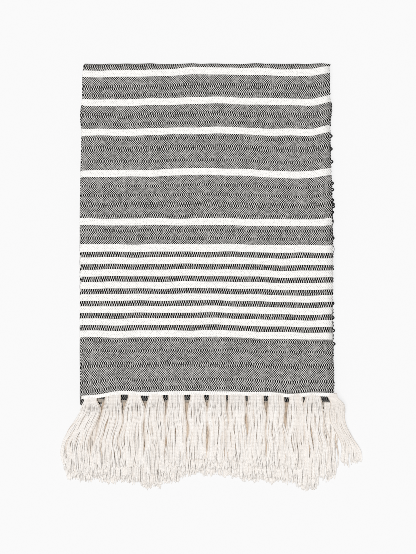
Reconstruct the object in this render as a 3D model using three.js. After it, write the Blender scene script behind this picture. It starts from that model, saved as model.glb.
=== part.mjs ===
// A flat-woven cotton runner rug, about 610 mm wide and 1.8 m long with its tassels, folded for storage.
//
// It is folded in half along its length, with that fold on the left (-X) and both selvedges on the right (+X),
// and the doubled cloth is then folded in half twice across its length. That makes eight plies, one on another.
// Both ends of the runner finish at the front (-Y), where their warp yarns are tied into tassels that drape over
// the edge of the stack and lie on the floor. The plies are shut up in one closed cloth, which turns back on
// itself at two creases at the back (+Y), one inside the other, and at one crease at the front.
//
// Millimetres, +Z up. The origin is the middle of the underside of the whole part's bounding box.

import * as THREE from "three";

const { lerp, smoothstep } = THREE.MathUtils;

// Driving dimensions.
const foldedWidth = 309; // half of the width
const foldedLength = 401; // from the visible end of the cloth to the outside of the back creases
const plyThickness = 1.6;
const plyGap = 0.3;
const tasselsPerPly = 13; // 26 along each end of the runner
const tasselLength = 88; // from the heading cord to the cut tips

// The heading cord, which is twined round the last picks and holds them.
const headingGap = 0.3;
const headingDepth = 4.2;
const headingThickness = 1.5;

// The knot of a tassel and the skirt of loose yarns below it. Distances are from the tassel's top.
const knotWidth = 19;
const neckWidth = 17;
const edgeShare = 0.75; // the tassel at the selvedge gathers fewer yarns, so its knot is this much narrower
const knotTop = 3;
const knotBottom = 9;
const skirtTop = 20; // where the skirt is at its full width
const skirtSpacing = 4; // between neighbouring skirts
const leanTop = 10; // a tassel that leans turns aside from here
const leanBottom = 66; // to here
const lengthRipple = 1.5; // how unevenly the yarns were cut
const tasselSides = 6;
const laneShare = 0.96; // of the thickness that its lane has
const firstRing = 1; // a tassel's rings are at least this far from its top
const lastRing = 3; // and this far from its tips

// What follows from them.
const plyPitch = plyThickness + plyGap;
const halfWidth = foldedWidth / 2;
const tasselPitch = foldedWidth / (tasselsPerPly - 0.4); // so the last tassel hangs from the selvedge
const foldRadius = plyPitch / 2;
const foldX = -halfWidth + foldRadius + plyThickness / 2;
const outerCreaseRadius = 3 * plyPitch;
const innerCreaseRadius = plyPitch;
const creaseY = foldedLength - outerCreaseRadius - foldRadius - plyThickness / 2;
const creaseSetback = 0.5; // the front crease lies this far behind the top ply's end
const frontCreaseY = innerCreaseRadius + foldRadius + plyThickness / 2 + creaseSetback;
const tasselStart = headingGap + headingDepth + 2 * headingGap;

// The four plies that end at the front, from the top of the stack down. Each has its own end line, because the
// plies have slipped a few millimetres on each other: end is its distance in front of the top ply's.
// atFold is where the end line meets the long fold, which the two plies of one end share. slide is how far the
// middle tassels stand to the right of an even spacing, because the knots slide on the yarns as they are tied.
// leanLeft and leanRight are how far the tips of the ply's first and last tassels lie to the right of their
// knots, and over how many tassels from there the lean dies away.
const plyEnds = [
  { name: "end_a_upper", end: 0, atFold: 5, slide: 8, leanLeft: [-24, 1.1], leanRight: [24, 0.4] },
  { name: "end_a_lower", end: 11, atFold: 5, slide: -4, leanLeft: [-10, 1.8], leanRight: [-5, 1.5] },
  { name: "end_b_upper", end: 15, atFold: 17, slide: 5, leanLeft: [-17, 1.8], leanRight: [-3, 1.5] },
  { name: "end_b_lower", end: 18, atFold: 17, slide: 0, leanLeft: [-6, 1.8], leanRight: [-5, 1.5] },
];
const endSlant = 45; // the end line runs out from the fold over this width

// How thick one ply's lane is at a distance in front of its end line: cloth, heading, knot, neck, then skirt.
const laneProfile = [
  [0, plyThickness],
  [5, 2.0],
  [8, 3.2],
  [13, 3.0],
  [21, 2.2],
  [36, 1.7],
  [95, 1.4],
];

// Lines across the front of the stack. Every surface there is straight between two of them.
const frontLines = [30, 14, 4, -2, -7, -12, -17, -23, -30, -40, -60, -90, -130];
const flatY = frontLines[0];

// The plies and tassels come down to the floor in front of the stack.
const floorClearance = 0.1;
const drapeLength = 36;
const drapeGap = 0.75;
const gapReach = 4; // the gap between lanes widens from this far behind the top ply's end to this far in front

// Tassels that splay past the sides of the stack lie lower, because fewer of them are stacked there.
const splayWidth = 30;
const splayHeight = 0.5;

const cotton = new THREE.MeshStandardMaterial({ color: 0xe9e4da, roughness: 0.95, metalness: 0 });
const weave = new THREE.MeshStandardMaterial({ color: 0x84827f, roughness: 0.92, metalness: 0 });
const headingCotton = new THREE.MeshStandardMaterial({ color: 0xf0ede6, roughness: 0.95, metalness: 0 });

function piecewise(table, at) {
  if (at <= table[0][0]) return table[0][1];
  for (let i = 1; i < table.length; i++) {
    const [a, valueA] = table[i - 1];
    const [b, valueB] = table[i];
    if (at <= b) return lerp(valueA, valueB, (at - a) / (b - a));
  }
  return table[table.length - 1][1];
}

// Where ply row's end line is, at a distance x across the stack.
function endY(row, x) {
  const ply = plyEnds[row];
  return -lerp(ply.atFold, ply.end, smoothstep(x, -halfWidth, -halfWidth + endSlant));
}

// The bottom and top of one ply's lane, with the lanes below it stacked up.
function laneOn(row, x, y) {
  const drop = smoothstep(-y, 0, drapeLength);
  const gap = lerp(plyGap, drapeGap, smoothstep(-y, -gapReach, gapReach));
  let low = lerp(4 * plyPitch, floorClearance, drop);
  for (let r = plyEnds.length - 1; r > row; r--) {
    low += piecewise(laneProfile, endY(r, x) - y) + gap;
  }
  return { low, high: low + piecewise(laneProfile, endY(row, x) - y) };
}

function lane(row, x, y) {
  let k = 1;
  while (k < frontLines.length - 1 && y < frontLines[k]) k++;
  const share = (y - frontLines[k - 1]) / (frontLines[k] - frontLines[k - 1]);
  const behind = laneOn(row, x, frontLines[k - 1]);
  const ahead = laneOn(row, x, frontLines[k]);
  const past = smoothstep(Math.abs(x), halfWidth, halfWidth + splayWidth);
  const height = lerp(1, splayHeight, past);
  return {
    low: height * lerp(behind.low, ahead.low, share),
    high: height * lerp(behind.high, ahead.high, share),
  };
}

// A closed solid from a grid of points on each side: at(i, j, side) is a point, with side +1 or -1.
function gridSolid(columns, lines, at) {
  const positions = [];
  const index = [];
  for (const side of [1, -1]) {
    for (let j = 0; j < lines; j++) {
      for (let i = 0; i < columns; i++) positions.push(...at(i, j, side));
    }
  }
  const vertex = (i, j, side) => (side > 0 ? 0 : columns * lines) + j * columns + i;
  const quad = (a, b, c, d) => index.push(a, b, c, a, c, d);
  for (let j = 0; j < lines - 1; j++) {
    for (let i = 0; i < columns - 1; i++) {
      quad(vertex(i, j, 1), vertex(i, j + 1, 1), vertex(i + 1, j + 1, 1), vertex(i + 1, j, 1));
      quad(vertex(i, j, -1), vertex(i + 1, j, -1), vertex(i + 1, j + 1, -1), vertex(i, j + 1, -1));
    }
    for (const [i, turn] of [[0, 1], [columns - 1, -1]]) {
      const corners = [vertex(i, j, 1), vertex(i, j, -1), vertex(i, j + 1, -1), vertex(i, j + 1, 1)];
      quad(...(turn > 0 ? corners : corners.reverse()));
    }
  }
  for (const [j, turn] of [[0, 1], [lines - 1, -1]]) {
    for (let i = 0; i < columns - 1; i++) {
      const corners = [vertex(i, j, 1), vertex(i + 1, j, 1), vertex(i + 1, j, -1), vertex(i, j, -1)];
      quad(...(turn > 0 ? corners : corners.reverse()));
    }
  }
  return closedGeometry(positions, index);
}

// A closed solid through rings of points, each with the same number of points.
function loftedSolid(rings) {
  const sides = rings[0].length;
  const index = [];
  for (let k = 0; k < rings.length - 1; k++) {
    for (let i = 0; i < sides; i++) {
      const [a, b] = [k * sides + i, k * sides + ((i + 1) % sides)];
      index.push(a, b, b + sides, a, b + sides, a + sides);
    }
  }
  const last = (rings.length - 1) * sides;
  for (let i = 1; i < sides - 1; i++) {
    index.push(0, i + 1, i, last, last + i, last + i + 1);
  }
  return closedGeometry(rings.flat(2), index);
}

function closedGeometry(positions, index) {
  const geometry = new THREE.BufferGeometry();
  geometry.setAttribute("position", new THREE.Float32BufferAttribute(positions, 3));
  geometry.setIndex(index);
  geometry.computeVertexNormals();
  return geometry;
}

// Stations across the doubled cloth, from the upper ply's selvedge round the long fold to the lower ply's.
// side is +1 on the upper ply and -1 on the lower one, and offset is the height in the doubled cloth.
function acrossStations() {
  const flatStops = [halfWidth, -halfWidth + endSlant];
  const slantSteps = 4;
  for (let k = 1; k <= slantSteps; k++) flatStops.push(lerp(flatStops[1], foldX, k / slantSteps));
  const upper = flatStops.map((x) => ({ x, offset: foldRadius, turnX: 0, turn: 1 }));
  const lower = flatStops.map((x) => ({ x, offset: -foldRadius, turnX: 0, turn: -1 })).reverse();
  const bend = [];
  const bendSteps = 6;
  for (let k = 1; k < bendSteps; k++) {
    const angle = (Math.PI * k) / bendSteps;
    bend.push({
      x: foldX - foldRadius * Math.sin(angle),
      offset: foldRadius * Math.cos(angle),
      turnX: -Math.sin(angle),
      turn: Math.cos(angle),
    });
  }
  return [...upper, ...bend, ...lower];
}

// Stations along the doubled cloth away from its ends: the middle of the two plies and their common normal.
function creaseStations() {
  const heightOf = (layer) => (2 * layer + 1) * plyPitch - plyGap / 2;
  const [innerA, innerB, outerB, outerA] = [0, 1, 2, 3].map(heightOf);
  const stations = [];
  const crease = (y, low, high, from, to) => {
    const steps = 8;
    for (let k = 0; k <= steps; k++) {
      const angle = lerp(from, to, k / steps);
      const radius = (high - low) / 2;
      const clockwise = to < from ? 1 : -1;
      stations.push({
        y: y + radius * Math.cos(angle),
        z: (low + high) / 2 + radius * Math.sin(angle),
        normalY: clockwise * Math.cos(angle),
        normalZ: clockwise * Math.sin(angle),
      });
    }
  };
  crease(creaseY, innerA, outerA, Math.PI / 2, -Math.PI / 2);
  crease(frontCreaseY, innerA, innerB, (3 * Math.PI) / 2, Math.PI / 2);
  crease(creaseY, innerB, outerB, -Math.PI / 2, Math.PI / 2);
  return stations;
}

// The middle of the cloth at one station of an end, where its two plies follow their own lanes.
// upperRow is the row that lies on top, and share is 0 at the end line and 1 where the stack is flat.
function endPoint(across, upperRow, share) {
  const up = across.offset / plyPitch + 0.5;
  const line = lerp(endY(upperRow + 1, across.x), endY(upperRow, across.x), up);
  const y = lerp(line, flatY, share);
  const [above, below] = [lane(upperRow, across.x, y), lane(upperRow + 1, across.x, y)];
  const middle = (edges) => (edges.low + edges.high) / 2;
  return { y, z: lerp(middle(below), middle(above), up) };
}

function wovenCloth() {
  const across = acrossStations();
  const endShares = [0, 0.2, 0.4, 0.6, 0.8, 1];
  const middle = creaseStations();
  const endA = endShares.map((share) => ({ upperRow: 0, share, flip: 1 }));
  const endB = endShares.map((share) => ({ upperRow: 2, share, flip: -1 })).reverse();
  const along = [...endA, ...middle, ...endB];
  return gridSolid(across.length, along.length, (i, j, side) => {
    const half = (side * plyThickness) / 2;
    const a = across[i];
    const s = along[j];
    if (s.upperRow === undefined) {
      const height = a.offset + half * a.turn;
      return [a.x + half * a.turnX, s.y + height * s.normalY, s.z + height * s.normalZ];
    }
    // At end B the doubled cloth lies the other way up, so its offsets change sign.
    const flipped = { ...a, offset: a.offset * s.flip };
    const p = endPoint(flipped, s.upperRow, s.share);
    return [a.x + half * a.turnX, p.y, p.z + half * a.turn * s.flip];
  });
}

// The heading cord runs along one end, round the long fold from selvedge to selvedge.
function headingCord(upperRow) {
  const across = acrossStations();
  const depths = [0, 0.5, 1];
  return gridSolid(across.length, depths.length, (i, j, side) => {
    const a = across[i];
    const half = (side * headingThickness) / 2;
    const up = a.offset / plyPitch + 0.5;
    const line = lerp(endY(upperRow + 1, a.x), endY(upperRow, a.x), up);
    const y = line - headingGap - headingDepth * (1 - depths[j]);
    const [above, below] = [lane(upperRow, a.x, y), lane(upperRow + 1, a.x, y)];
    const low = below.low + plyThickness / 2;
    const high = above.low + plyThickness / 2;
    return [a.x + half * a.turnX, y, lerp(low, high, up) + half * a.turn];
  });
}

// How far the tips of a tassel lie to the right of its knot. The outermost ones of the top row splay past the
// cloth.
function leanOf(row, k) {
  const fading = ([lean, reach], tasselsAway) => lean * Math.exp(-tasselsAway / reach);
  const { leanLeft, leanRight } = plyEnds[row];
  return fading(leanLeft, k) + fading(leanRight, tasselsPerPly - 1 - k);
}

// How much longer or shorter each tassel is than the usual, from the fold to the selvedge.
const extraLength = [0, 0, 2, 8, 0, -8, -8, -7, 0, 0, 2, 12, -4];
const lengthOf = (row, k) => tasselLength + extraLength[k] + lengthRipple * Math.sin(2.4 * k + 1.7 * row);

function tassel(row, k) {
  const slid = plyEnds[row].slide * Math.sin((Math.PI * (k + 0.5)) / tasselsPerPly);
  const rootX = -halfWidth + (k + 0.5) * tasselPitch + slid;
  const start = Math.min(endY(row, rootX - knotWidth / 2), endY(row, rootX + knotWidth / 2)) - tasselStart;
  const length = lengthOf(row, k);
  const gathered = k === tasselsPerPly - 1 ? edgeShare : 1;
  const widths = [
    [0, gathered * neckWidth],
    [knotTop, gathered * knotWidth],
    [knotBottom, gathered * knotWidth],
    [skirtTop, tasselPitch - skirtSpacing],
  ];
  const between = frontLines.filter((y) => y < start - firstRing && y > start - length + lastRing);
  const rings = [start, ...between, start - length].map((y) => {
    const below = start - y;
    const centreX = rootX + leanOf(row, k) * smoothstep(below, leanTop, leanBottom);
    const halfWidthHere = piecewise(widths, below) / 2;
    return Array.from({ length: tasselSides }, (_, i) => {
      const angle = (2 * Math.PI * i) / tasselSides;
      const x = centreX + halfWidthHere * Math.cos(angle);
      const edges = lane(row, x, y);
      const up = Math.sin(angle) / Math.sin(Math.PI / 3); // -1 along the bottom edges and 1 along the top ones
      return [x, y, lerp(edges.low, edges.high, (1 + laneShare * up) / 2)];
    });
  });
  return loftedSolid(rings);
}

const runner = new THREE.Group();

function addPiece(name, geometry, material) {
  const mesh = new THREE.Mesh(geometry, material);
  mesh.name = name;
  runner.add(mesh);
}

addPiece("woven_cloth", wovenCloth(), weave);
addPiece("heading_cord_end_a", headingCord(0), headingCotton);
addPiece("heading_cord_end_b", headingCord(2), headingCotton);
plyEnds.forEach((ply, row) => {
  for (let k = 0; k < tasselsPerPly; k++) {
    addPiece(`tassel_${ply.name}_${String(k + 1).padStart(2, "0")}`, tassel(row, k), cotton);
  }
});

// The origin is the middle of the underside of the whole part.
const box = new THREE.Box3().setFromObject(runner);
const middle = box.getCenter(new THREE.Vector3());
runner.position.set(-middle.x, -middle.y, -box.min.z);

export default runner;
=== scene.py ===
# A black and off-white cotton runner rug with tasselled ends, folded for storage, seen from straight above.
#
# The cloth is one sheet, laid along the path it is folded on: across its width round the long fold on the
# left, and along its length round two creases at the back and one at the front. The stripes, the weave and
# the headings are placed by distances on the flat cloth, so they follow the folds. Every tassel is a bundle
# of yarns.
#
# Lengths below are in millimetres, in axes whose origin is on the middle of the top ply's end, at floor
# level. to_row() turns them into the row frame, from where the CAD cloth lies.

import math

import bpy
import numpy as np
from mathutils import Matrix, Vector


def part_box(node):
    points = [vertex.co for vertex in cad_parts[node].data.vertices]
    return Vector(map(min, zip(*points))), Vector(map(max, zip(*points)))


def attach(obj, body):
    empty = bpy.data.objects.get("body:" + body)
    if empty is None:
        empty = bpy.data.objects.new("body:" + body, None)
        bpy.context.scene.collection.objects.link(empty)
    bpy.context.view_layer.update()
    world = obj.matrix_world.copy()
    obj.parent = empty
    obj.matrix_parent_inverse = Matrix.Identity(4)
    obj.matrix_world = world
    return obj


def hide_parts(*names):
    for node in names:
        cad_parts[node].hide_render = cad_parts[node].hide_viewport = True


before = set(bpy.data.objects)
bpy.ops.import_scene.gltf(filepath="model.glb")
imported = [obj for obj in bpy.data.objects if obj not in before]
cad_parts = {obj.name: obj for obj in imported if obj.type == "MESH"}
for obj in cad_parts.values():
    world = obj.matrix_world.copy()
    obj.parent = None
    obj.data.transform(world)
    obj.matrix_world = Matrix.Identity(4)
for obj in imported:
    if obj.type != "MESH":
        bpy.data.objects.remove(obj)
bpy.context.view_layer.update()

MM = 0.001
TURN = 2 * math.pi

# The folded stack.
WIDTH = 309
LENGTH = 401
PLY_THICKNESS = 1.6
PLY_GAP = 0.3
PITCH = PLY_THICKNESS + PLY_GAP
HALF_WIDTH = WIDTH / 2
FOLD_RADIUS = PITCH / 2
FOLD_X = -HALF_WIDTH + FOLD_RADIUS + PLY_THICKNESS / 2
STACK_HEIGHT = 8 * PITCH - PLY_GAP

# The creases. Two lie one inside the other at the back, and the one at the front is hidden behind the ends.
CREASE_Y = LENGTH - 3 * PITCH - FOLD_RADIUS - PLY_THICKNESS / 2
FRONT_INSET = 0.5
FRONT_CREASE_Y = FRONT_INSET + PITCH + FOLD_RADIUS + PLY_THICKNESS / 2
CREASE_POINTS = 33
LONG_FOLD_POINTS = 13

# The four plies that end at the front, from the top down: how far in front of the top ply's end each one
# ends, how far at the long fold, and how far its middle tassels stand to the right of an even spacing.
PLY_ENDS = (
    {"name": "end_a_upper", "end": 0, "at_fold": 5, "slide": 8},
    {"name": "end_a_lower", "end": 11, "at_fold": 5, "slide": -4},
    {"name": "end_b_upper", "end": 15, "at_fold": 17, "slide": 5},
    {"name": "end_b_lower", "end": 18, "at_fold": 17, "slide": 0},
)
END_SLANT = 45

# The thickness of a ply's lane at a distance in front of its end: cloth, heading, knot and then loose yarns.
# The lanes lie on the plies folded inside the stack, and drape down to the floor in front of it.
LANE_DISTANCE = (0, 5, 8, 13, 21, 36, 95)
LANE_THICKNESS = (PLY_THICKNESS, 2.0, 3.2, 3.0, 2.2, 1.7, 1.4)
INNER_PLIES = 4
DRAPE_LENGTH = 36
DRAPE_GAP = 0.75
DRAPE_GAP_SPAN = (-4, 4)
FLOOR_CLEARANCE = 0.1

# The weave draft from one end of the cloth: plain white stripes, thin stripes of two tall rows of dashes,
# and broad bands of bird's-eye twill. The third entry lists the places in a band where the twill turns,
# which makes tall rows of dashes: each is a distance from the band's start and a number of rows.
PLAIN = ("plain", 8.2, ())
WIDE_PLAIN = ("plain", 9.2, ())
DASHES = ("dashes", 6.7, ())
THIN_STRIPES = 7
DRAFT = (
    ("twill", 66.3, ((3.4, 1), (13.2, 1), (29.9, 2), (48.6, 1), (60.9, 1))),
    *(PLAIN, DASHES) * THIN_STRIPES,
    WIDE_PLAIN,
    ("twill", 23.2, ((5.5, 1), (15.3, 1))),
    PLAIN,
    ("twill", 53.3, ((2.1, 1), (14.3, 2), (28.1, 1), (39.6, 1))),
    PLAIN,
    ("twill", 42.1, ((8.9, 1), (22.6, 2), (35.8, 1))),
    PLAIN,
    ("twill", 28.5, ((4.2, 1), (13.3, 2))),
    PLAIN,
    ("twill", 27.6, ((3.3, 1), (11.2, 2))),
    PLAIN,
)
BAND_AT_CREASE = ("twill", 27.6, ((3.3, 1), (11.2, 2)))
BOTH_HALVES = (*DRAFT, BAND_AT_CREASE, *DRAFT[::-1])
SHED_ROW = 1.5
TALL_ROW = 3.1
ROWS_PER_DASHES = 2
DIAMOND_WIDTH = 2.75
KINDS = ("twill", "dashes", "plain")

# How far the stripes of the top ply sag towards the front on the left and the right, and how far they turn
# back up close to the selvedge, at distances from its end. The spans are distances from the stack's middle.
SAG_AT = (0, 67, 180, 212, 265, 325, 400)
SAG_LEFT = (0.6, 0.6, 0.3, 0.2, 2.6, 2.6, 3.4)
SAG_RIGHT = (2.4, 3.0, 1.4, 1.3, 4.2, 2.4, 1.8)
SELVEDGE_LIFT = (0.5, 0, 0.3, 2.4, 4.2, 5.6, 3.2)
SAG_LEFT_SPAN = (-10, 110)
SAG_RIGHT_SPAN = (5, 110)
SELVEDGE_SPAN = (HALF_WIDTH - 26, HALF_WIDTH + 4)
SAG_FADE = (LENGTH - 10, LENGTH + 60)  # where along the cloth the sag dies out, past the back crease
END_SAG_FADE = 20  # near an end, the whole edge sags with it

# How wide the stack is on either side of its middle, as a share of half its width, from front to back.
TAPER_AT = (0, 40, 190, 230, 290, 400)
TAPER_LEFT = (1.009, 1.009, 1.006, 1.003, 0.998, 0.986)
TAPER_RIGHT = (1.002, 0.995, 0.995, 0.993, 0.976, 0.965)

# Tassels.
TASSELS_PER_PLY = 13
TASSEL_PITCH = WIDTH / (TASSELS_PER_PLY - 0.4)
EDGE_SHARE = 0.75
HEADING_DEPTH = 4.2

rng = np.random.default_rng(11)


# Shapes of the stack.


def smoothstep(value, start, stop):
    share = np.clip((value - start) / (stop - start), 0, 1)
    return share * share * (3 - 2 * share)


def blend(a, b, share):
    return a + (b - a) * share


def end_line(row, x):
    ply = PLY_ENDS[row]
    slant = smoothstep(x, -HALF_WIDTH, -HALF_WIDTH + END_SLANT)
    return -blend(ply["at_fold"], ply["end"], slant)


def lane(row, x, y):
    """The underside and the top of a ply's lane, with the lanes below it stacked up."""
    low = blend(INNER_PLIES * PITCH, FLOOR_CLEARANCE, smoothstep(-y, 0, DRAPE_LENGTH))
    gap = blend(PLY_GAP, DRAPE_GAP, smoothstep(-y, *DRAPE_GAP_SPAN))
    for under in range(len(PLY_ENDS) - 1, row, -1):
        low = low + np.interp(end_line(under, x) - y, LANE_DISTANCE, LANE_THICKNESS) + gap
    return low, low + np.interp(end_line(row, x) - y, LANE_DISTANCE, LANE_THICKNESS)


def lane_middle(row, x, y):
    low, high = lane(row, x, y)
    return (low + high) / 2


def fold_path():
    """Where the middle of the doubled cloth runs: distances along it, then y, z and its normal at each."""
    heights = [(2 * layer + 1) * PITCH - PLY_GAP / 2 for layer in range(4)]
    inner_a, inner_b, outer_b, outer_a = heights
    points = [(0, outer_a, 0, 1)]

    def crease(y, low, high, start, stop):
        radius = (high - low) / 2
        way = 1 if stop < start else -1
        for angle in np.linspace(start, stop, CREASE_POINTS):
            across, up = math.cos(angle), math.sin(angle)
            points.append((y + radius * across, (low + high) / 2 + radius * up, way * across, way * up))

    quarter = math.pi / 2
    crease(CREASE_Y, inner_a, outer_a, quarter, -quarter)
    crease(FRONT_CREASE_Y, inner_a, inner_b, 3 * quarter, quarter)
    crease(CREASE_Y, inner_b, outer_b, -quarter, quarter)
    points.append((0, outer_b, 0, 1))
    points = np.array(points)
    steps = np.hypot(*np.diff(points[:, :2], axis=0).T)
    return np.concatenate([[0], np.cumsum(steps)]), points


def width_path():
    """Where a ply runs across the doubled cloth: distances from the upper selvedge, x, offset and normal."""
    points = [(HALF_WIDTH, FOLD_RADIUS, 0, 1)]
    for angle in np.linspace(0, math.pi, LONG_FOLD_POINTS):
        away, up = -math.sin(angle), math.cos(angle)
        points.append((FOLD_X + FOLD_RADIUS * away, FOLD_RADIUS * up, away, up))
    points.append((HALF_WIDTH, -FOLD_RADIUS, 0, -1))
    points = np.array(points)
    steps = np.hypot(*np.diff(points[:, :2], axis=0).T)
    return np.concatenate([[0], np.cumsum(steps)]), points


FOLD_AT, FOLD_POINTS = fold_path()
WIDTH_AT, WIDTH_POINTS = width_path()
CLOTH_LENGTH = FOLD_AT[-1]
CLOTH_WIDTH = WIDTH_AT[-1]

# Where the cloth turns round each crease, as distances along it, with room for what the layers have slipped.
CREASE_MARGIN = 5
CREASES = [
    (FOLD_AT[first] - CREASE_MARGIN, FOLD_AT[first + CREASE_POINTS - 1] + CREASE_MARGIN)
    for first in (1, 1 + CREASE_POINTS, 1 + 2 * CREASE_POINTS)
]


# Where along the cloth the layers have slipped sideways, how far, and over what distance: on the top ply near
# the back, at the back crease, and on the lower ply that shows past the long fold.
SLIPS = ((346, 2.4, 11), (LENGTH, 1.2, 5), (CLOTH_LENGTH - 340, -2.2, 14))

# What the stack's corners lose at the back crease: how much, and over what distance from the side.
LEFT_CORNER = (3.0, 7)
RIGHT_CORNER = (1.0, 8)
CORNER_DEPTH = 14
SWELL_SPAN = (-2, 20)  # where the stack starts to swell, behind its front edge


def follow(at, table, distances):
    return [np.interp(distances, at, table[:, column]) for column in range(table.shape[1])]


def bell(value, middle, reach):
    return np.exp(-(((value - middle) / reach) ** 2))


def sag(x, along):
    """How far towards the front the cloth has slipped at a place on the top ply."""
    left = np.interp(along, SAG_AT, SAG_LEFT) * smoothstep(-x, *SAG_LEFT_SPAN)
    right = np.interp(along, SAG_AT, SAG_RIGHT) * smoothstep(x, *SAG_RIGHT_SPAN)
    lift = np.interp(along, SAG_AT, SELVEDGE_LIFT) * smoothstep(x, *SELVEDGE_SPAN)
    ripple = 0.35 * np.sin(x / 13 + along / 21) + 0.25 * np.sin(x / 7.3 - along / 34)
    return (left + right - lift + ripple) * (1 - smoothstep(along, *SAG_FADE))


def sideways(along, upper):
    """How far each layer has slipped sideways, so that the edges of the stack aren't ruled lines."""
    doubled = 0.35 * np.sin(along / 61 + 0.8) + 0.21 * np.sin(along / 27 + 2.1)
    ply = 0.5 * upper * np.sin(along / 19)
    return doubled + ply + sum(how_far * bell(along, middle, reach) for middle, how_far, reach in SLIPS)


def cloth_point(u, v, side):
    """A point on the cloth: u across it from the upper selvedge, v along it from end A, side +1 or -1."""
    x, offset, turn_x, turn = follow(WIDTH_AT, WIDTH_POINTS, u)
    along = v - sag(x, v)
    along = np.clip(along, 0, CLOTH_LENGTH)
    y, z, normal_y, normal_z = follow(FOLD_AT, FOLD_POINTS, along)
    half = side * PLY_THICKNESS / 2
    height = offset + half * turn
    result_y = y + height * normal_y
    result_z = z + height * normal_z
    for upper_row, from_end, flip in ((0, along, 1), (2, CLOTH_LENGTH - along, -1)):
        up = flip * offset / PITCH + 0.5
        line = blend(end_line(upper_row + 1, x), end_line(upper_row, x), up)
        middle_line = blend(-PLY_ENDS[upper_row + 1]["end"], -PLY_ENDS[upper_row]["end"], up)
        slant = (line - middle_line) * (1 - smoothstep(from_end, 0, END_SLANT))
        slip = (sag(x, v) if upper_row == 0 else 0) * (1 - smoothstep(from_end, 0, END_SAG_FADE))
        end_y = blend(middle_line, CREASE_Y, from_end / CREASE_Y) + slant - slip
        middle = blend(lane_middle(upper_row + 1, x, end_y), lane_middle(upper_row, x, end_y), up)
        here = from_end < CREASE_Y
        result_y = np.where(here, end_y, result_y)
        result_z = np.where(here, middle + half * turn * flip, result_z)
    x = x + sideways(v, turn) + half * turn_x
    return relaxed(x, result_y, result_z)


def relaxed(x, y, z):
    """The stack isn't quite flat: it swells a little, more at the top than at the floor."""
    swell = 0.35 * np.sin(x / 37 + 1) * np.sin(y / 45) + 0.2 * np.sin(x / 17 - y / 23)
    z = z + swell * np.clip(z / STACK_HEIGHT, 0, 1) * smoothstep(y, *SWELL_SPAN)
    x = x * np.where(x < 0, np.interp(y, TAPER_AT, TAPER_LEFT), np.interp(y, TAPER_AT, TAPER_RIGHT))
    pucker = 0.55 * np.sin(x / 8.7 + 0.6) * np.sin(x / 31) + 0.3 * np.sin(x / 4.1)
    lost_left, left_reach = LEFT_CORNER
    lost_right, right_reach = RIGHT_CORNER
    left = lost_left * (1 - smoothstep(x, -HALF_WIDTH, -HALF_WIDTH + left_reach))
    right = lost_right * smoothstep(x, HALF_WIDTH - right_reach, HALF_WIDTH)
    y = y + (pucker - left - right) * smoothstep(y, LENGTH - CORNER_DEPTH, LENGTH)
    return np.stack([x, y, z], axis=-1)


# The row frame.

cloth_low, cloth_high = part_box("woven_cloth")
design_origin = np.array([cloth_low.x + HALF_WIDTH * MM, cloth_high.y - LENGTH * MM, cloth_low.z])


def to_row(points):
    return np.asarray(points) * MM + design_origin


def to_design(corner):
    return (np.array(corner) - design_origin) / MM


# Meshes.

YARN_SIDES = 6
END_TAPER = 0.35


def new_object(name, points, faces, uv_maps, materials, smooth=True):
    mesh = bpy.data.meshes.new(name)
    mesh.from_pydata(points.tolist(), [], faces)
    loops = np.empty(len(mesh.loops), np.int32)
    mesh.loops.foreach_get("vertex_index", loops)
    for uv_name, values in uv_maps.items():
        layer = mesh.uv_layers.new(name=uv_name)
        layer.uv.foreach_set("vector", values[loops].astype(np.float32).ravel())
    for material in materials:
        mesh.materials.append(material)
    mesh.polygons.foreach_set("use_smooth", np.full(len(faces), smooth))
    mesh.update()
    made = bpy.data.objects.new(name, mesh)
    bpy.context.scene.collection.objects.link(made)
    return made


def tubes(name, paths, radius, material, tone=0.0, reference=(0, 0, 1)):
    """Round yarns with pointed-in ends: paths has the shape (yarns, points, 3), in millimetres.

    radius is one number, or one for each yarn and point. tone is how far a yarn's colour goes towards its
    material's painted-shade colour, from 0 to 1, in the same way. reference is a direction that no yarn runs
    in.
    """
    paths = np.asarray(paths, float)
    count, length, _ = paths.shape
    tangent = np.gradient(paths, axis=1)
    tangent /= np.linalg.norm(tangent, axis=2, keepdims=True)
    across = np.cross(tangent, np.asarray(reference, float))
    across /= np.linalg.norm(across, axis=2, keepdims=True)
    up = np.cross(across, tangent)
    shares = np.arange(YARN_SIDES) / YARN_SIDES
    angles = TURN * shares
    ring = across[:, :, None] * np.cos(angles)[:, None] + up[:, :, None] * np.sin(angles)[:, None]
    taper = np.ones(length)
    taper[0] = taper[-1] = END_TAPER
    radius = np.broadcast_to(radius, (count, length)) * taper
    points = paths[:, :, None] + ring * radius[:, :, None, None]

    number = np.arange(count * length * YARN_SIDES).reshape(count, length, YARN_SIDES)
    beside = np.roll(number, -1, axis=2)
    quads = np.stack([number[:, :-1], beside[:, :-1], beside[:, 1:], number[:, 1:]], axis=-1)
    faces = quads.reshape(-1, 4).tolist()
    for yarn in number:
        faces.append(yarn[0][::-1].tolist())
        faces.append(yarn[-1].tolist())

    steps = np.linalg.norm(np.diff(paths, axis=1), axis=2)
    along = np.concatenate([np.zeros((count, 1)), np.cumsum(steps, axis=1)], axis=1) * MM
    around = shares + np.arange(count)[:, None, None]
    yarn_uv = np.stack(np.broadcast_arrays(along[:, :, None], around), axis=-1).reshape(-1, 2)
    depth = np.repeat(np.broadcast_to(tone, (count, length)).ravel(), YARN_SIDES)
    uv_maps = {"yarn": yarn_uv, "tone": np.column_stack([depth, depth])}
    return new_object(name, to_row(points.reshape(-1, 3)), faces, uv_maps, [material])


# Materials.


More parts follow.
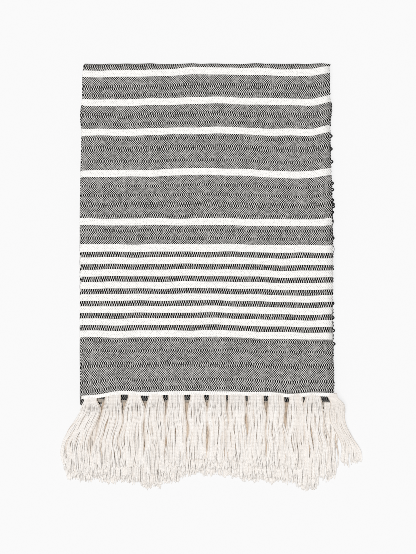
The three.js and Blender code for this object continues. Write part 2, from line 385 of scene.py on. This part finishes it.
class Shader:
    """A material's nodes, with short ways to add the ones used here."""

    def __init__(self, name, roughness, sheen=0.0, specular=0.15):
        self.material = bpy.data.materials.new(name)
        self.material.use_nodes = True
        self.tree = self.material.node_tree
        self.surface = self.tree.nodes["Principled BSDF"]
        self.surface.inputs["Roughness"].default_value = roughness
        self.surface.inputs["Specular IOR Level"].default_value = specular
        self.surface.inputs["Sheen Weight"].default_value = sheen
        self.surface.inputs["Sheen Roughness"].default_value = 0.6

    def node(self, kind, **inputs):
        made = self.tree.nodes.new(kind)
        for name, value in inputs.items():
            self.put(made.inputs[name], value)
        return made

    def put(self, socket, value):
        if isinstance(value, bpy.types.NodeSocket):
            self.tree.links.new(value, socket)
        else:
            socket.default_value = value

    def math(self, operation, *values):
        made = self.tree.nodes.new("ShaderNodeMath")
        made.operation = operation
        for socket, value in zip(made.inputs, values):
            self.put(socket, value)
        return made.outputs[0]

    def uv(self, name):
        made = self.tree.nodes.new("ShaderNodeUVMap")
        made.uv_map = name
        return made.outputs[0]

    def parts(self, vector):
        return self.node("ShaderNodeSeparateXYZ", Vector=vector).outputs

    def noise(self, vector, scale, detail=2.0):
        """Noise from 0 to 1. The scale is in features per metre, because the maps used here are in metres."""
        made = self.node("ShaderNodeTexNoise", Vector=vector, Scale=scale, Detail=detail)
        return made.outputs["Fac"]

    def around(self, noise, reach):
        """Noise as a number from about -reach to reach."""
        return self.math("MULTIPLY", self.math("SUBTRACT", noise, 0.5), 2 * reach)

    def ramp(self, value, start, stop):
        """From 0 at start to 1 at stop, with eased ends."""
        made = self.tree.nodes.new("ShaderNodeMapRange")
        made.interpolation_type = "SMOOTHSTEP"
        for name, given in (("Value", value), ("From Min", start), ("From Max", stop)):
            self.put(made.inputs[name], given)
        return made.outputs[0]

    def mix(self, share, a, b):
        made = self.tree.nodes.new("ShaderNodeMix")
        made.data_type = "RGBA"
        self.put(made.inputs["Factor"], share)
        self.put(made.inputs["A"], a)
        self.put(made.inputs["B"], b)
        return made.outputs["Result"]

    def bump(self, height, distance):
        made = self.node("ShaderNodeBump", Height=height, Distance=distance, Strength=1.0)
        self.put(self.surface.inputs["Normal"], made.outputs[0])

    def colour(self, value):
        self.put(self.surface.inputs["Base Color"], value)


WHITE_YARN = (0.865, 0.855, 0.832, 1)
# Painted shade in the pits of the plain weave.
WHITE_PIT = (0.53, 0.515, 0.485, 1)
# Painted shade between the warp ends of the twill.
WHITE_SHADE = (0.55, 0.53, 0.50, 1)
WARP_IN_BLACK = (0.80, 0.785, 0.76, 1)
# Painted shade: the white warp's colour near the ends of the lower ply, under the ply above.
WARP_IN_PAINTED_SHADE = (0.22, 0.215, 0.205, 1)
# BLACK_YARN and BLACK_SHADE alternate across the picks: painted shade and light on the round weft.
BLACK_YARN = (0.0015, 0.0015, 0.0015, 1)
BLACK_SHADE = (0.008, 0.008, 0.008, 1)
WARPS_PER_DIAMOND = 4


def twill_material(name, threshold, softness, slant):
    """Black weft with white warp showing through in staggered dashes: the diamonds of a bird's-eye."""
    shader = Shader(name, 0.92, specular=0.02)
    place = shader.uv("cloth")
    across, rows, _ = shader.parts(shader.uv("draft"))
    drift = shader.around(shader.noise(place, 90.0), 0.35)
    jitter = shader.around(shader.noise(place, 420.0), 0.10)
    lean = shader.math("MULTIPLY", shader.math("SINE", shader.math("MULTIPLY", rows, TURN / 2)), slant)
    column = shader.math("ADD", shader.math("ADD", across, lean), shader.math("ADD", drift, jitter))
    warp_wave = shader.math("COSINE", shader.math("MULTIPLY", column, TURN))
    row_wave = shader.math("SINE", shader.math("MULTIPLY", rows, TURN))
    diamonds = shader.math("MULTIPLY", warp_wave, row_wave)
    patches = shader.around(shader.noise(place, 60.0), 0.22)
    uneven = shader.math("ADD", shader.around(shader.noise(place, 260.0), 0.55), patches)
    cover = shader.ramp(shader.math("ADD", diamonds, uneven), threshold - softness, threshold + softness)
    # Painted shade and light across the round warp ends and weft picks.
    warp = shader.math("COSINE", shader.math("MULTIPLY", across, TURN * WARPS_PER_DIAMOND))
    weft = shader.math("COSINE", shader.math("MULTIPLY", rows, TURN * 2))
    # The tone map is painted shade on the lower ply's warp near its ends.
    hidden, _, _ = shader.parts(shader.uv("tone"))
    white = shader.mix(shader.ramp(warp, -1.0, 0.4), WHITE_SHADE, WARP_IN_BLACK)
    white = shader.mix(hidden, white, WARP_IN_PAINTED_SHADE)
    black = shader.mix(shader.ramp(weft, -1.0, 1.0), BLACK_YARN, BLACK_SHADE)
    shader.colour(shader.mix(cover, black, white))
    shader.bump(cover, 0.35 * MM)
    return shader.material


def plain_material(name):
    """White weft on white warp: an even weave, with shallow pits between the yarns that are painted darker as
    shade, unevenly by random noise.
    """
    shader = Shader(name, 0.9, sheen=0.1)
    place = shader.uv("cloth")
    across, rows, _ = shader.parts(shader.uv("draft"))
    jitter = shader.around(shader.noise(place, 420.0), 0.15)
    warp = shader.math("COSINE", shader.math("MULTIPLY", shader.math("ADD", across, jitter), TURN))
    weft = shader.math("SINE", shader.math("MULTIPLY", rows, TURN))
    pits = shader.math("MULTIPLY", warp, weft)
    uneven = shader.around(shader.noise(place, 500.0, 0.0), 1.2)
    height = shader.math("ADD", pits, uneven)
    shader.colour(shader.mix(shader.ramp(height, -1.6, 0.1), WHITE_PIT, WHITE_YARN))
    shader.bump(height, 0.12 * MM)
    return shader.material


def yarn_material(name, light, dark, painted_shade_colour, twist):
    """A two-ply yarn: the plies wind round each other, with a darker line between them that is painted shade
    in the groove.

    Yarns deep in a bundle, under other tassels or on a bundle's flanks are mixed towards a darker, browner
    colour: painted shade.
    """
    shader = Shader(name, 0.95, sheen=0.1, specular=0.05)
    place = shader.uv("yarn")
    along, around, _ = shader.parts(place)
    depth, _, _ = shader.parts(shader.uv("tone"))
    wind = shader.math("ADD", shader.math("MULTIPLY", along, 1 / twist), around)
    plies = shader.math("ABSOLUTE", shader.math("SINE", shader.math("MULTIPLY", wind, TURN)))
    fibre = shader.around(shader.noise(place, 900.0, 3.0), 0.25)
    # Painted shade in the groove between the plies, broken up by fibre noise.
    shade = shader.ramp(shader.math("ADD", plies, fibre), 0.0, 0.75)
    # The tone map mixes the yarn towards its painted-shade colour: painted shade, with random dinge on tassel
    # yarns.
    shader.colour(shader.mix(depth, shader.mix(shade, dark, light), painted_shade_colour))
    shader.bump(plies, 0.10 * MM)
    return shader.material


twill = twill_material("black_white_twill", threshold=0.13, softness=0.66, slant=0.0)
dashes = twill_material("black_white_dashes", threshold=0.24, softness=0.58, slant=0.12)
plain = plain_material("white_plain_weave")
tassel_yarn = yarn_material(
    "tassel_yarn",
    light=(0.85, 0.825, 0.795, 1),
    dark=(0.80, 0.765, 0.73, 1),
    # Painted shade: the brownish colour of tassel yarns deep in a bundle or under other tassels.
    painted_shade_colour=(0.57, 0.465, 0.365, 1),
    twist=3.5 * MM,
)
heading_yarn = yarn_material(
    "heading_yarn",
    light=(0.93, 0.92, 0.90, 1),
    dark=(0.80, 0.77, 0.73, 1),
    # Painted shade: the colour of the heading on the lower ply, which lies in shadow.
    painted_shade_colour=(0.42, 0.38, 0.33, 1),
    twist=3.0 * MM,
)
weft_yarn = yarn_material(
    "black_weft_yarn",
    light=(0.012, 0.012, 0.012, 1),
    dark=(0.004, 0.004, 0.004, 1),
    painted_shade_colour=(0.004, 0.004, 0.004, 1),
    twist=2.5 * MM,
)


# The woven cloth.

FLAT_STEP = 5.0
CREASE_STEP = 0.7
MIDDLE_GAP = 0.3  # no station is closer to the middle of the cloth than this
FLAT_COLUMNS = 30
FOLD_COLUMNS = 9
# The lower ply's warp is painted darker near each end, as painted shade.
HIDDEN_DEPTH = (14, 22)  # how far in from an end the warp of the lower ply stays in the shade
PLY_CHANGE = 5  # on either side of the long fold, where the cloth passes from the upper ply to the lower


def on_lower_ply(u):
    """0 on the upper ply of the doubled cloth, and 1 on the lower."""
    return smoothstep(u, CLOTH_WIDTH / 2 - PLY_CHANGE, CLOTH_WIDTH / 2 + PLY_CHANGE)


def station_step(start, stop):
    """How far apart stations may be: close together where the cloth turns round a crease."""
    turning = any(start < crease_stop and stop > crease_start for crease_start, crease_stop in CREASES)
    return CREASE_STEP if turning else FLAT_STEP


def weave_spans(kind, length, tall_rows):
    """The spans of one band: the kind of weave, where the span starts and stops, and its number of rows."""
    reached = 0.0
    for tall_start, tall_count in tall_rows:
        yield kind, reached, tall_start, max(1, round((tall_start - reached) / SHED_ROW))
        reached = tall_start + tall_count * TALL_ROW
        yield "dashes", tall_start, reached, tall_count
    low_rows = max(1, round((length - reached) / SHED_ROW))
    yield kind, reached, length, ROWS_PER_DASHES if kind == "dashes" else low_rows


def draft_stations():
    """Distances along the cloth where a face row starts, with the rows woven by then, and each row's kind."""
    stations = [(0.0, 0.0)]
    kinds = []
    for band in BOTH_HALVES:
        start, rows = stations[-1]
        for kind, span_start, span_stop, row_count in weave_spans(*band):
            length = span_stop - span_start
            pieces = max(1, math.ceil(length / station_step(start + span_start, start + span_stop)))
            for piece in range(1, pieces + 1):
                share = piece / pieces
                stations.append((start + span_start + length * share, rows + row_count / 2 * share))
                kinds.append(KINDS.index(kind))
            rows += row_count / 2
    stations = np.array(stations)
    first = stations[stations[:, 0] < CLOTH_LENGTH / 2 - MIDDLE_GAP]
    before_middle, at_middle = kinds[: len(first) - 1], kinds[len(first) - 1]
    middle_rows = first[-1, 1] + 0.5
    second = np.column_stack([CLOTH_LENGTH - first[::-1, 0], 2 * middle_rows - first[::-1, 1]])
    return np.vstack([first, second]), np.array([*before_middle, at_middle, *before_middle[::-1]])


def across_stations():
    flat = np.linspace(0, WIDTH_AT[1], FLAT_COLUMNS, endpoint=False)
    bend = np.linspace(WIDTH_AT[1], WIDTH_AT[-2], FOLD_COLUMNS)
    return np.concatenate([flat, bend, CLOTH_WIDTH - flat[::-1]])


def edge_strip(upper, under, flip):
    """The faces between the upper and under side of the cloth, along one of its four edges."""
    strip = np.stack([upper[:-1], under[:-1], under[1:], upper[1:]], axis=-1)
    return strip[:, ::flip]


def woven_cloth():
    stations, kinds = draft_stations()
    u = across_stations()
    v, rows = stations.T
    grid_u, grid_v = np.meshgrid(u, v)
    columns, lines = len(u), len(v)
    points = np.concatenate([cloth_point(grid_u, grid_v, side).reshape(-1, 3) for side in (1, -1)])

    upper = np.arange(columns * lines).reshape(lines, columns)
    under = upper + columns * lines
    top = np.stack([upper[:-1, :-1], upper[1:, :-1], upper[1:, 1:], upper[:-1, 1:]], axis=-1).reshape(-1, 4)
    bottom = top[:, ::-1] + columns * lines
    sides = [edge_strip(upper[:, column], under[:, column], flip) for column, flip in ((0, 1), (-1, -1))]
    ends = [edge_strip(upper[line], under[line], flip) for line, flip in ((0, -1), (-1, 1))]
    faces = np.concatenate([top, bottom, *sides, *ends]).tolist()
    face_kinds = np.repeat(kinds, columns - 1)
    end_kinds = np.full(2 * (columns - 1), kinds[0])

    from_end = np.minimum(grid_v, CLOTH_LENGTH - grid_v)
    # Painted shade on the lower ply near each end, carried in the tone map.
    hidden = (on_lower_ply(grid_u) * (1 - smoothstep(from_end, *HIDDEN_DEPTH))).ravel()
    maps = {
        "draft": np.column_stack([grid_u.ravel() / DIAMOND_WIDTH, np.repeat(rows, columns)]),
        "cloth": np.column_stack([grid_u.ravel(), grid_v.ravel()]) * MM,
        "tone": np.column_stack([hidden, hidden]),
    }
    both_sides = {name: np.tile(values, (2, 1)) for name, values in maps.items()}
    made = new_object("cloth", to_row(points), faces, both_sides, [twill, dashes, plain])
    slots = np.concatenate([face_kinds, face_kinds, kinds, kinds, end_kinds])
    made.data.polygons.foreach_set("material_index", slots)
    made.data.update()
    return made


cloth = woven_cloth()
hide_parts("woven_cloth")
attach(cloth, "root")


# The heading cords, three rows of twined yarn along each end.

STRAND_RADIUS = 0.68
STRAND_TWIST = 5.0
STRAND_STEP = 0.6
STRAND_SWING = 0.45  # how far a strand winds to and fro along the cloth
STRAND_RISE = 0.35  # how far it winds up and down
HEADING_ROWS = (0.16, 0.5, 0.84)  # as shares of its depth
HEADING_LIFT = 0.25
HEADING_WAVER = 0.3


def heading_cord(name, node, upper_row):
    u = np.arange(0, CLOTH_WIDTH, STRAND_STEP)
    x, offset, turn_x, turn = follow(WIDTH_AT, WIDTH_POINTS, u)
    up = offset / PITCH + 0.5
    line = blend(end_line(upper_row + 1, x), end_line(upper_row, x), up)
    if upper_row == 0:
        line = line - sag(x, 0.0)
    end = 0 if upper_row == 0 else CLOTH_LENGTH
    slipped_x = x + sideways(np.full_like(u, end), turn)
    strands = []
    for depth in HEADING_ROWS:
        y = line - HEADING_DEPTH * depth + HEADING_WAVER * np.sin(x / 9 + upper_row)
        z = blend(lane_middle(upper_row + 1, x, y), lane_middle(upper_row, x, y), up) + HEADING_LIFT * turn
        for strand in (0, 1):
            wind = TURN * (u / STRAND_TWIST + strand / 2)
            out = STRAND_RISE * np.sin(wind)
            swung_y = y + STRAND_SWING * np.cos(wind)
            strands.append(np.column_stack([slipped_x + out * turn_x, swung_y, z + out * turn]))
    # The heading on the lower ply is mixed towards heading_yarn's painted-shade colour, as painted shade.
    made = tubes(name, strands, STRAND_RADIUS, heading_yarn, on_lower_ply(u), reference=(0, 1, 0))
    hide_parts(node)
    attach(made, "root")
    return made


headings = [
    heading_cord("heading_a", "heading_cord_end_a", 0),
    heading_cord("heading_b", "heading_cord_end_b", 2),
]


# The tassels.

YARN_RADIUS = 0.80
YARN_POINTS = 40
YARN_START = -3  # below the tassel's top, so inside the heading

# A tassel's yarns lie in layers: how many yarns, how high in the bundle, how much of its width they take,
# and how much painted shade they get, more in the deeper layers.
YARN_LAYERS = ((22, 0.9, 1.0, 0.0), (18, 0.25, 0.97, 0.4), (9, -0.7, 0.8, 0.8))
TOP_LAYER_ABOVE = 0.5

# How much of its full width a tassel has at a distance below its top, and how thick its bundle is there.
BUNDLE_AT = (-3, 0, 3, 6, 10, 15, 21, 28, 36, 110)
BUNDLE_SPREAD = (0, 0, 0.04, 0.14, 0.34, 0.6, 0.8, 0.93, 1, 1)
BUNDLE_HEIGHT = (1.4, 2.2, 3.8, 4.6, 4.8, 4.6, 4.2, 3.8, 3.4, 2.6)
NECK_WIDTH = (14.0, 20.5)
SHOULDER = (0.5, 1.2)  # how soon a tassel widens, as a share of the distances above
SKIRT_SHARE = (0.89, 1.01)
KNOT_SHIFT = 1.2
WIDEST_SKIRT = 28
GATHERED = 0.62  # how thick a yarn is where it is gathered, as a share of its full thickness
GATHERED_SPAN = (8, 34)  # where below the tassel's top it thickens again
THICKNESS_SHARE = (0.88, 1.12)
TIP_MARGIN = 10  # from the middle of a tassel's tips to the side of its box

# The locks that the yarns of a layer cling together in: how many, and how they sway.
LOCKS = (5, 8)
LOCK_SWAY = (0.3, 0.9)
LOCK_LIFT = 0.3
LOCK_BULGE = 0.5
LOCK_WAVELENGTH = (30, 62)
CLING = 0.16  # how far a yarn moves towards the middle of its lock
LOOSE_SPAN = (3, 28)  # where below the tassel's top the yarns come loose

# The yarns that end short of the others, and the strays that cross them.
SHORT_SHARE = 0.12
SHORT_BY = (4, 14)
STRAY_SHARE = 0.2
STRAY_REACH = 3.5
STRAY_SPAN = (18, 80)

# How a whole tassel drifts to and fro: how far, over what wavelengths, and how far its sides are out of step.
DRIFTS = ((1.0, (55, 80), 0.8), (0.4, (28, 40), 1.8))

# How each yarn waves by itself: how far, up and down, and over what wavelengths.
OWN_SWAY = 0.16
OWN_BOB = 0.12
OWN_WAVELENGTH = (15, 42)

# Between these leans, a tassel leaning right is splayed more and more, and one leaning left curls back.
STEEP_LEAN = (8, 20)
FAN = 0.12  # how much further the yarns on the far side of a leaning tassel go
LEFT_LEAN_SHARE = 0.9
LEAN_SPAN = (8, 64)
CURL_SHARE = 0.2
CURL_SPAN = (64, 100)
SPLAYED_STEPS = ((0.28, 0, 12), (0.72, 30, 72))  # a share of the lean, and where it is taken
WAIST = (0.4, 46, 20)  # what a splayed tassel loses of its width, where, and over what distance

# How uneven the yarns are: where they lie, how high, and how far down locks, yarns and outer yarns reach.
SIDE_SCATTER = 0.012
LOCK_SCATTER = 0.02
HEIGHT_SCATTER = 0.04
LOCK_REACH_SCATTER = 1.6
YARN_REACH_SCATTER = 1.2
OUTER_YARN_LOSS = 3

# How much painted shade the yarns get near the top of a tassel that is splayed, in a row's first tassel, in
# the rest, and on its flanks; where that shade ends; and how dingy locks and yarns are of themselves, at
# random.
SPLAYED_SHADE = 0.2
FIRST_SHADE = 0.3
COVERED_SHADE = 1.0
FLANK_SHADE = 0.6
SHADE_SPAN = (52, 76)
LOCK_DINGE = 0.12
YARN_DINGE = 0.4


def hang(row, k):
    """Where a tassel's knot and the middle of its tips are across the stack, and where it starts and ends."""
    ply = PLY_ENDS[row]
    low, high = (to_design(corner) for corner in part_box(f"tassel_{ply['name']}_{k + 1:02d}"))
    slid = ply["slide"] * math.sin(math.pi * (k + 0.5) / TASSELS_PER_PLY)
    root_x = -HALF_WIDTH + (k + 0.5) * TASSEL_PITCH + slid
    leans_left = root_x - low[0] > high[0] - root_x
    return root_x, low[0] + TIP_MARGIN if leans_left else high[0] - TIP_MARGIN, high[1], low[1]


def room(row, k):
    """The width that a tassel's skirt has between its neighbours."""
    tips = [hang(row, beside)[1] for beside in range(max(k - 1, 0), min(k + 2, TASSELS_PER_PLY))]
    return min((tips[-1] - tips[0]) / (len(tips) - 1), WIDEST_SKIRT)


def yarn_places():
    """Where each yarn lies in its bundle, as columns: from side to side, how high, and how much painted shade
    it gets.
    """
    layers = []
    for count, height, share, depth in YARN_LAYERS:
        layers.append([np.linspace(-share, share, count), np.full(count, height), np.full(count, depth)])
    return np.concatenate(layers, axis=1)[:, :, None]


def leaning(below, side, lean):
    """How far across a leaning tassel's yarns have gone. It fans out: those on its far side lean furthest."""
    fan = LEFT_LEAN_SHARE - FAN * side if lean < 0 else 1 + FAN * side
    if smoothstep(lean, *STEEP_LEAN) > 0.5:
        turned = sum(share * smoothstep(below, start, stop) for share, start, stop in SPLAYED_STEPS)
    else:
        curl = CURL_SHARE * smoothstep(-lean, *STEEP_LEAN) * smoothstep(below, *CURL_SPAN)
        turned = smoothstep(below, *LEAN_SPAN) - curl
    return lean * fan * turned


def drifting(below, side):
    """How far a whole tassel has drifted sideways, in waves that run down it."""
    phases = rng.uniform(0, TURN, len(DRIFTS))
    drift = 0
    for (how_far, wavelength, out_of_step), phase in zip(DRIFTS, phases):
        drift = drift + how_far * np.sin(TURN * below / rng.uniform(*wavelength) + phase + out_of_step * side)
    return drift


def shaded(row, k, side, splayed):
    """How much painted shade a tassel's yarns get near its top: under other tassels, and on its flanks."""
    first, last = k == 0, k == TASSELS_PER_PLY - 1
    if row == 0 or last:
        covered = SPLAYED_SHADE * splayed
    else:
        covered = FIRST_SHADE if first else COVERED_SHADE
    outermost = first & (side < 0) | last & (side > 0)
    flank = FLANK_SHADE * smoothstep(np.abs(side), 0.8, 1.0) * ~outermost
    return np.maximum(flank, covered)


def tassel(row, k):
    ply = PLY_ENDS[row]
    share = EDGE_SHARE if k == TASSELS_PER_PLY - 1 else 1
    root_x, tip_x, start, tip = hang(row, k)
    root_x = root_x + rng.uniform(-KNOT_SHIFT, KNOT_SHIFT)
    splayed = smoothstep(tip_x - root_x, *STEEP_LEAN)
    side, layer, layer_shade = yarn_places()
    each = side.shape  # one draw for each yarn
    short = rng.uniform(*SHORT_BY, each) * (rng.uniform(0, 1, each) < SHORT_SHARE)

    # The yarns of each layer cling together in a few locks, which sway and lie on one another.
    locks = rng.integers(*LOCKS)
    lock = np.floor((side * 0.5 + 0.5 + rng.normal(0, LOCK_SCATTER, each)) * locks)
    lock = np.clip(lock, 0, locks - 1).astype(int)
    lock_middle = (lock + 0.5) / locks * 2 - 1
    lock = lock + (layer < TOP_LAYER_ABOVE) * locks
    uneven = rng.normal(0, LOCK_REACH_SCATTER, 2 * locks)[lock] + rng.normal(0, YARN_REACH_SCATTER, each)
    reach = start - tip + uneven - OUTER_YARN_LOSS * side**4 - short
    below = YARN_START + (reach - YARN_START) * np.linspace(0, 1, YARN_POINTS)
    loose = smoothstep(below, *LOOSE_SPAN)
    phase = rng.uniform(0, TURN, (2, 2 * locks))
    wavelength = rng.uniform(*LOCK_WAVELENGTH, (2, 2 * locks))
    sway = rng.uniform(*LOCK_SWAY, 2 * locks)[lock]
    sway = sway * np.sin(TURN * below / wavelength[0][lock] + phase[0][lock])
    lift = LOCK_LIFT * np.sin(TURN * below / wavelength[1][lock] + phase[1][lock])
    bulge = LOCK_BULGE * (1 - np.clip((side - lock_middle) * locks, -1, 1) ** 2) * loose
    side = side + (lock_middle - side) * CLING * loose + rng.normal(0, SIDE_SCATTER, each)
    rise = layer * np.sqrt(np.clip(1 - (0.95 * side) ** 2, 0, 1)) + rng.normal(0, HEIGHT_SCATTER, each)

    neck = rng.uniform(*NECK_WIDTH) * share
    waist_loss, waist_at, waist_reach = WAIST
    skirt = room(row, k) * rng.uniform(*SKIRT_SHARE) * share
    skirt = skirt * (1 - splayed * waist_loss * bell(below, waist_at, waist_reach))
    width = blend(neck, skirt, np.interp(below / rng.uniform(*SHOULDER), BUNDLE_AT, BUNDLE_SPREAD))
    height = np.interp(below, BUNDLE_AT, BUNDLE_HEIGHT) / 2
    drift = drifting(below, side)
    own_phase = rng.uniform(0, TURN, (2, *each))
    own_wavelength = rng.uniform(*OWN_WAVELENGTH, (2, *each))
    own = OWN_SWAY * np.sin(TURN * below / own_wavelength[0] + own_phase[0])
    bob = OWN_BOB * np.sin(TURN * below / own_wavelength[1] + own_phase[1])
    stray = rng.normal(0, STRAY_REACH, each) * (rng.uniform(0, 1, each) < STRAY_SHARE)

    x = root_x + leaning(below, side, tip_x - root_x) + side * width / 2
    x = x + (drift + sway + own) * loose + stray * smoothstep(below, *STRAY_SPAN)
    y = start - below
    bottom, top = lane(row, np.clip(x, -HALF_WIDTH, HALF_WIDTH), y)
    sunk = blend(1.0, 0.5, smoothstep(np.abs(x), HALF_WIDTH, HALF_WIDTH + 30))
    z = (bottom + top) / 2 * sunk + rise * height + bulge + (lift + bob + 0.1 * np.abs(stray)) * loose
    z = np.maximum(z, YARN_RADIUS * 0.9)

    gathered = blend(GATHERED, 1, smoothstep(below, *GATHERED_SPAN))
    radius = YARN_RADIUS * rng.uniform(*THICKNESS_SHARE, each) * gathered
    dinge = rng.uniform(0, LOCK_DINGE, 2 * locks)[lock] + rng.uniform(0, YARN_DINGE, each) ** 2
    # Painted shade from the yarn's layer, from the tassels above and on the flanks, fading out down the
    # tassel.
    tone = np.maximum(layer_shade, shaded(row, k, side, splayed)) * (1 - smoothstep(below, *SHADE_SPAN))
    paths = np.stack(np.broadcast_arrays(x, y, z), axis=-1)
    number = f"{ply['name']}_{k + 1:02d}"
    # Each yarn takes the painted shade or its own random dinge, whichever is deeper.
    made = tubes(f"yarns_{number}", paths, radius, tassel_yarn, np.maximum(tone, dinge))
    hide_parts(f"tassel_{number}")
    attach(made, "root")
    return made


fringe = [tassel(row, k) for row in range(len(PLY_ENDS)) for k in range(TASSELS_PER_PLY)]


# The selvedge, where the weft turns round the outermost warp.

WEFT_RADIUS = 0.55
LOOP_SPACING = 3.0
LOOP_POINTS = 11
LOOP_OUT = (-0.2, 0.5)
EDGE_INSET = 0.6

# Slack turns of the weft that stand out from the top ply's edge: distances from its end, and how far out.
SLACK_LOOPS = (
    (61, 2.8), (77, 2.6), (92, 2.0), (109, 1.6), (188, 2.0), (218, 2.2), (225, 3.4), (228, 3.0), (233, 2.4),
    (246, 2.6), (254, 2.4), (280, 2.6), (295, 2.4), (310, 2.8),
)
SLACK_LOOP_LENGTH = 4.6
SLACK_LOOP_RADIUS = 0.85

# Where the weft is carried past a white stripe it lies tight or slack: about where, and how far out.
SLACK_FLOATS = ((126, 1.5), (140, 1.7), (175, 1.8), (206, 2.0))
SLACK_FLOAT_NEAR = 4
TIGHT_FLOAT = -0.3
FLOAT_OVERLAP = 3
FLOAT_RADIUS = 0.7 * WEFT_RADIUS


def dark_bands():
    """The start and stop of each dark band along the cloth, from end A to end B."""
    reached = 0.0
    half = []
    for kind, length, _ in BOTH_HALVES:
        if kind != "plain" and reached < CLOTH_LENGTH / 2:
            half.append((reached, min(reached + length, CLOTH_LENGTH / 2)))
        reached += length
    return half + [(CLOTH_LENGTH - stop, CLOTH_LENGTH - start) for start, stop in half[::-1]]


def edge_curve(v, out, edge):
    """Points beside the selvedge: distances along the cloth, how far out from the edge, and which edge."""
    v = np.asarray(v, float)
    u = np.full_like(v, 0.0 if edge == "upper" else CLOTH_WIDTH)
    middle = (cloth_point(u, v, 1) + cloth_point(u, v, -1)) / 2
    middle[..., 0] += out
    return middle


def weft_loop(v, out, length, edge):
    """One turn of the weft: its middle along the cloth, how far it stands out, and its length."""
    turn = np.linspace(-0.5, 0.5, LOOP_POINTS)
    return edge_curve(v + length * turn, (out + EDGE_INSET) * np.cos(math.pi * turn) - EDGE_INSET, edge)


def selvedge(edge):
    """The weft turning back at every pick along the dark bands."""
    loops = []
    for start, stop in dark_bands():
        count = max(2, round((stop - start) / LOOP_SPACING))
        for share in (np.arange(count) + 0.5) / count:
            loops.append(weft_loop(blend(start, stop, share), rng.uniform(*LOOP_OUT), LOOP_SPACING, edge))
    return tubes(f"weft_loops_{edge}", loops, WEFT_RADIUS, weft_yarn)


def slack_loops():
    loops = [weft_loop(v, out, SLACK_LOOP_LENGTH, "upper") for v, out in SLACK_LOOPS]
    return tubes("slack_weft_loops", loops, SLACK_LOOP_RADIUS, weft_yarn)


def weft_floats():
    """The black weft carried along the selvedge past each white stripe."""
    floats = []
    bands = dark_bands()
    for (_, start), (stop, _) in zip(bands, bands[1:]):
        if stop - start < WEFT_RADIUS:
            continue
        middle = (start + stop) / 2
        slack = [out for at, out in SLACK_FLOATS if abs(at - middle) < SLACK_FLOAT_NEAR]
        out = slack[0] if slack else TIGHT_FLOAT
        floats.append(weft_loop(middle, out, stop - start + FLOAT_OVERLAP, "upper"))
    return tubes("weft_floats", floats, FLOAT_RADIUS, weft_yarn)


edging = [selvedge("upper"), selvedge("lower"), slack_loops(), weft_floats()]
for piece in edging:
    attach(piece, "root")


# The floor, the light and the camera.


FLOOR_REACH = 4.0


def plain_floor():
    """A floor that glows by itself, so that the rug casts hardly any shadow on it."""
    corners = np.array([(-1, -1, 0), (1, -1, 0), (1, 1, 0), (-1, 1, 0)]) * FLOOR_REACH
    corners[:, 2] = cloth_low.z
    shader = Shader("floor", 1.0)
    shader.colour((0.13, 0.13, 0.13, 1))
    shader.surface.inputs["Specular IOR Level"].default_value = 0.0
    shader.surface.inputs["Emission Color"].default_value = (1, 1, 1, 1)
    shader.surface.inputs["Emission Strength"].default_value = 0.80
    return new_object("floor", corners, [(0, 1, 2, 3)], {}, [shader.material], smooth=False)


plain_floor()

world = bpy.data.worlds.new("studio")
world.use_nodes = True
world.node_tree.nodes["Background"].inputs["Color"].default_value = (1, 1, 1, 1)
world.node_tree.nodes["Background"].inputs["Strength"].default_value = 0.40
bpy.context.scene.world = world

overhead = bpy.data.lights.new("overhead", "SUN")
overhead.energy = 2.5
overhead.angle = math.radians(25)
overhead_object = bpy.data.objects.new("overhead", overhead)
overhead_object.rotation_euler = (math.radians(8), math.radians(-8), 0)
bpy.context.scene.collection.objects.link(overhead_object)
bpy.context.scene.view_settings.view_transform = "Standard"
bpy.context.scene.cycles.filter_width = 0.75
bpy.context.scene.cycles.use_denoising = False

VIEW_HEIGHT = 677.2 * MM  # what the height of the picture takes in, on top of the stack
VIEW_CENTRE = (1.3, 139.5, STACK_HEIGHT)
CAMERA_DISTANCE = 2.6
camera = bpy.data.cameras.new("camera")
camera.sensor_fit = "VERTICAL"
camera.sensor_height = 36
camera.lens = camera.sensor_height * CAMERA_DISTANCE / VIEW_HEIGHT
camera_object = bpy.data.objects.new("camera", camera)
camera_object.location = to_row(VIEW_CENTRE) + (0, 0, CAMERA_DISTANCE)
bpy.context.scene.collection.objects.link(camera_object)
bpy.context.scene.camera = camera_object
